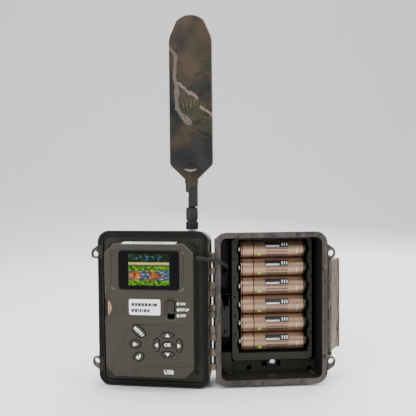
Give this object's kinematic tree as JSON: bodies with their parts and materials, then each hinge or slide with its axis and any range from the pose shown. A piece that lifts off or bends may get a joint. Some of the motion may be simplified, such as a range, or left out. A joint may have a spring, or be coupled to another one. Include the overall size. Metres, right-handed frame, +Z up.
{
  "type": "trail camera",
  "caption": "Hinged weatherproof wildlife camera, shown open: electronics half with screen and keys, battery half with cells, folding paddle antenna.",
  "frame": {"origin": "on the flat underside of the tripod foot, midway across the battery half, in front of the threaded insert", "axes": "+Z up along the hinge, +Y from the battery half's open side to its back, +X from the hinge towards the latch"},
  "size_m": [0.1909, 0.0612, 0.2766],
  "materials": {
    "camo_shell": "moulded plastic with a printed bark and twig camouflage film, satin",
    "olive_plastic": "fine-textured olive ABS",
    "dark_plastic": "satin black-olive ABS",
    "black_plastic": "satin black plastic or blackened metal",
    "rubber": "soft silicone",
    "steel": "bright zinc-plated",
    "brass": "machined",
    "nickel": "nickel-plated spring steel",
    "cell_label": "shrink label with a bronze sheen",
    "dark_window": "polished dark acrylic",
    "display": "lit colour display",
    "circuit_board": "green solder mask",
    "fresnel_plastic": "milky polyethylene",
    "lens_glass": "coated optical glass"
  },
  "bodies": {
    "rear_case": {"rear_shell": "camo_shell", "battery_tray": "dark_plastic", "tray_screw": "steel", "battery_1": "cell_label", "battery_2": "cell_label", "battery_3": "cell_label", "battery_4": "cell_label", "battery_5": "cell_label", "battery_6": "cell_label", "contact_strip_positive": "nickel", "contact_strip_negative": "nickel", "conduit_cover": "dark_plastic", "conduit_screw_upper": "black_plastic", "conduit_screw_lower": "black_plastic", "block_screw": "black_plastic", "tripod_insert": "brass", "hinge_pin": "steel", "latch_pin": "steel"},
    "front_case": {"front_shell": "camo_shell", "rim_gasket": "rubber", "module_cover": "olive_plastic", "module_screw_1": "black_plastic", "module_screw_2": "black_plastic", "module_screw_3": "black_plastic", "module_screw_4": "black_plastic", "display_window": "dark_window", "lcd_panel": "display", "main_board": "circuit_board", "key_membrane": "rubber", "card_socket": "nickel", "usb_port": "nickel", "lens_barrel": "black_plastic", "lens_glass": "lens_glass", "pir_lens": "fresnel_plastic", "status_lamp": "dark_window", "ir_window": "dark_window", "emitter_board": "circuit_board", "antenna_jack": "brass", "antenna_nut": "black_plastic", "power_lead": "rubber"},
    "latch": {"latch_lever": "camo_shell"},
    "antenna_swivel": {"antenna_base": "black_plastic", "antenna_pin": "steel"},
    "antenna": {"antenna_blade": "camo_shell"},
    "power_switch": {"switch_knob": "black_plastic"},
    "card": {"memory_card": "black_plastic"},
    "menu": {"menu_key": "olive_plastic"},
    "play": {"play_key": "olive_plastic"},
    "back": {"back_key": "olive_plastic"},
    "up": {"up_key": "olive_plastic"},
    "down": {"down_key": "olive_plastic"},
    "left": {"left_key": "olive_plastic"},
    "right": {"right_key": "olive_plastic"},
    "ok": {"ok_key": "olive_plastic"}
  },
  "joints": [
    {"name": "case_hinge", "type": "hinge", "parent": "rear_case", "child": "front_case", "pos_m": [-0.044, -0.013, 0.058], "axis": [0, 0, 1], "range_deg": [0, 194], "deforming": ["power_lead"]},
    {"name": "latch_hinge", "type": "hinge", "parent": "rear_case", "child": "latch", "pos_m": [0.0452, -0.004, 0.058], "axis": [0, 0, -1], "range_deg": [0, 146]},
    {"name": "antenna_turn", "type": "hinge", "parent": "front_case", "child": "antenna_swivel", "pos_m": [-0.05716, 0.00574, 0.126], "axis": [0, 0, 1], "continuous": true},
    {"name": "antenna_tilt", "type": "hinge", "parent": "antenna_swivel", "child": "antenna", "pos_m": [-0.05716, 0.00574, 0.141], "axis": [-0.2419, -0.9703, 0], "range_deg": [0, 90]},
    {"name": "switch_slide", "type": "slide", "parent": "front_case", "child": "power_switch", "axis": [0, 0, -1], "range_m": [0, 0.0039]},
    {"name": "card_slide", "type": "slide", "parent": "front_case", "child": "card", "axis": [0.9703, -0.2419, 0], "range_m": [-0.034, 0]},
    {"name": "menu_press", "type": "slide", "parent": "front_case", "child": "menu", "axis": [0.2419, 0.9703, 0], "range_m": [0, 0.0007], "stiffness_N_per_m": 600},
    {"name": "play_press", "type": "slide", "parent": "front_case", "child": "play", "axis": [0.2419, 0.9703, 0], "range_m": [0, 0.0007], "stiffness_N_per_m": 600},
    {"name": "back_press", "type": "slide", "parent": "front_case", "child": "back", "axis": [0.2419, 0.9703, 0], "range_m": [0, 0.0007], "stiffness_N_per_m": 600},
    {"name": "up_press", "type": "slide", "parent": "front_case", "child": "up", "axis": [0.2419, 0.9703, 0], "range_m": [0, 0.0007], "stiffness_N_per_m": 600},
    {"name": "down_press", "type": "slide", "parent": "front_case", "child": "down", "axis": [0.2419, 0.9703, 0], "range_m": [0, 0.0007], "stiffness_N_per_m": 600},
    {"name": "left_press", "type": "slide", "parent": "front_case", "child": "left", "axis": [0.2419, 0.9703, 0], "range_m": [0, 0.0007], "stiffness_N_per_m": 600},
    {"name": "right_press", "type": "slide", "parent": "front_case", "child": "right", "axis": [0.2419, 0.9703, 0], "range_m": [0, 0.0007], "stiffness_N_per_m": 600},
    {"name": "ok_press", "type": "slide", "parent": "front_case", "child": "ok", "axis": [0.2419, 0.9703, 0], "range_m": [0, 0.0007], "stiffness_N_per_m": 600}
  ]
}
